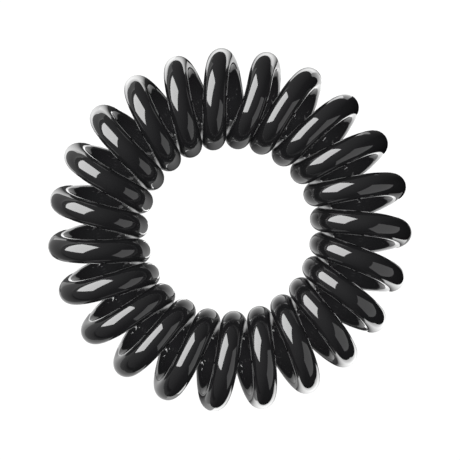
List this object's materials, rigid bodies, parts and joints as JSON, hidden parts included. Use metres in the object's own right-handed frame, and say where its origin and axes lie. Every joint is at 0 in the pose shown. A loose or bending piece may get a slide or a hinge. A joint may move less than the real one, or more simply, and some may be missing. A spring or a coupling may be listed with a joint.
{
  "type": "spiral hair tie",
  "caption": "Springy hair tie: a glossy black plastic cord coiled in even turns round an open ring, closed on itself with no clasp.",
  "frame": {"origin": "on the ring's axis, at the height of the surface that the turns rest on", "axes": "+Z along the ring's axis, up from the resting face; +X and +Y in the ring's plane, as the picture's right and top"},
  "size_m": [0.0363, 0.0363, 0.0101],
  "materials": {
    "cord": "glossy black thermoplastic polyurethane with a smooth moulded skin"
  },
  "bodies": {
    "root": {"spiral_coil": "cord"}
  },
  "joints": []
}
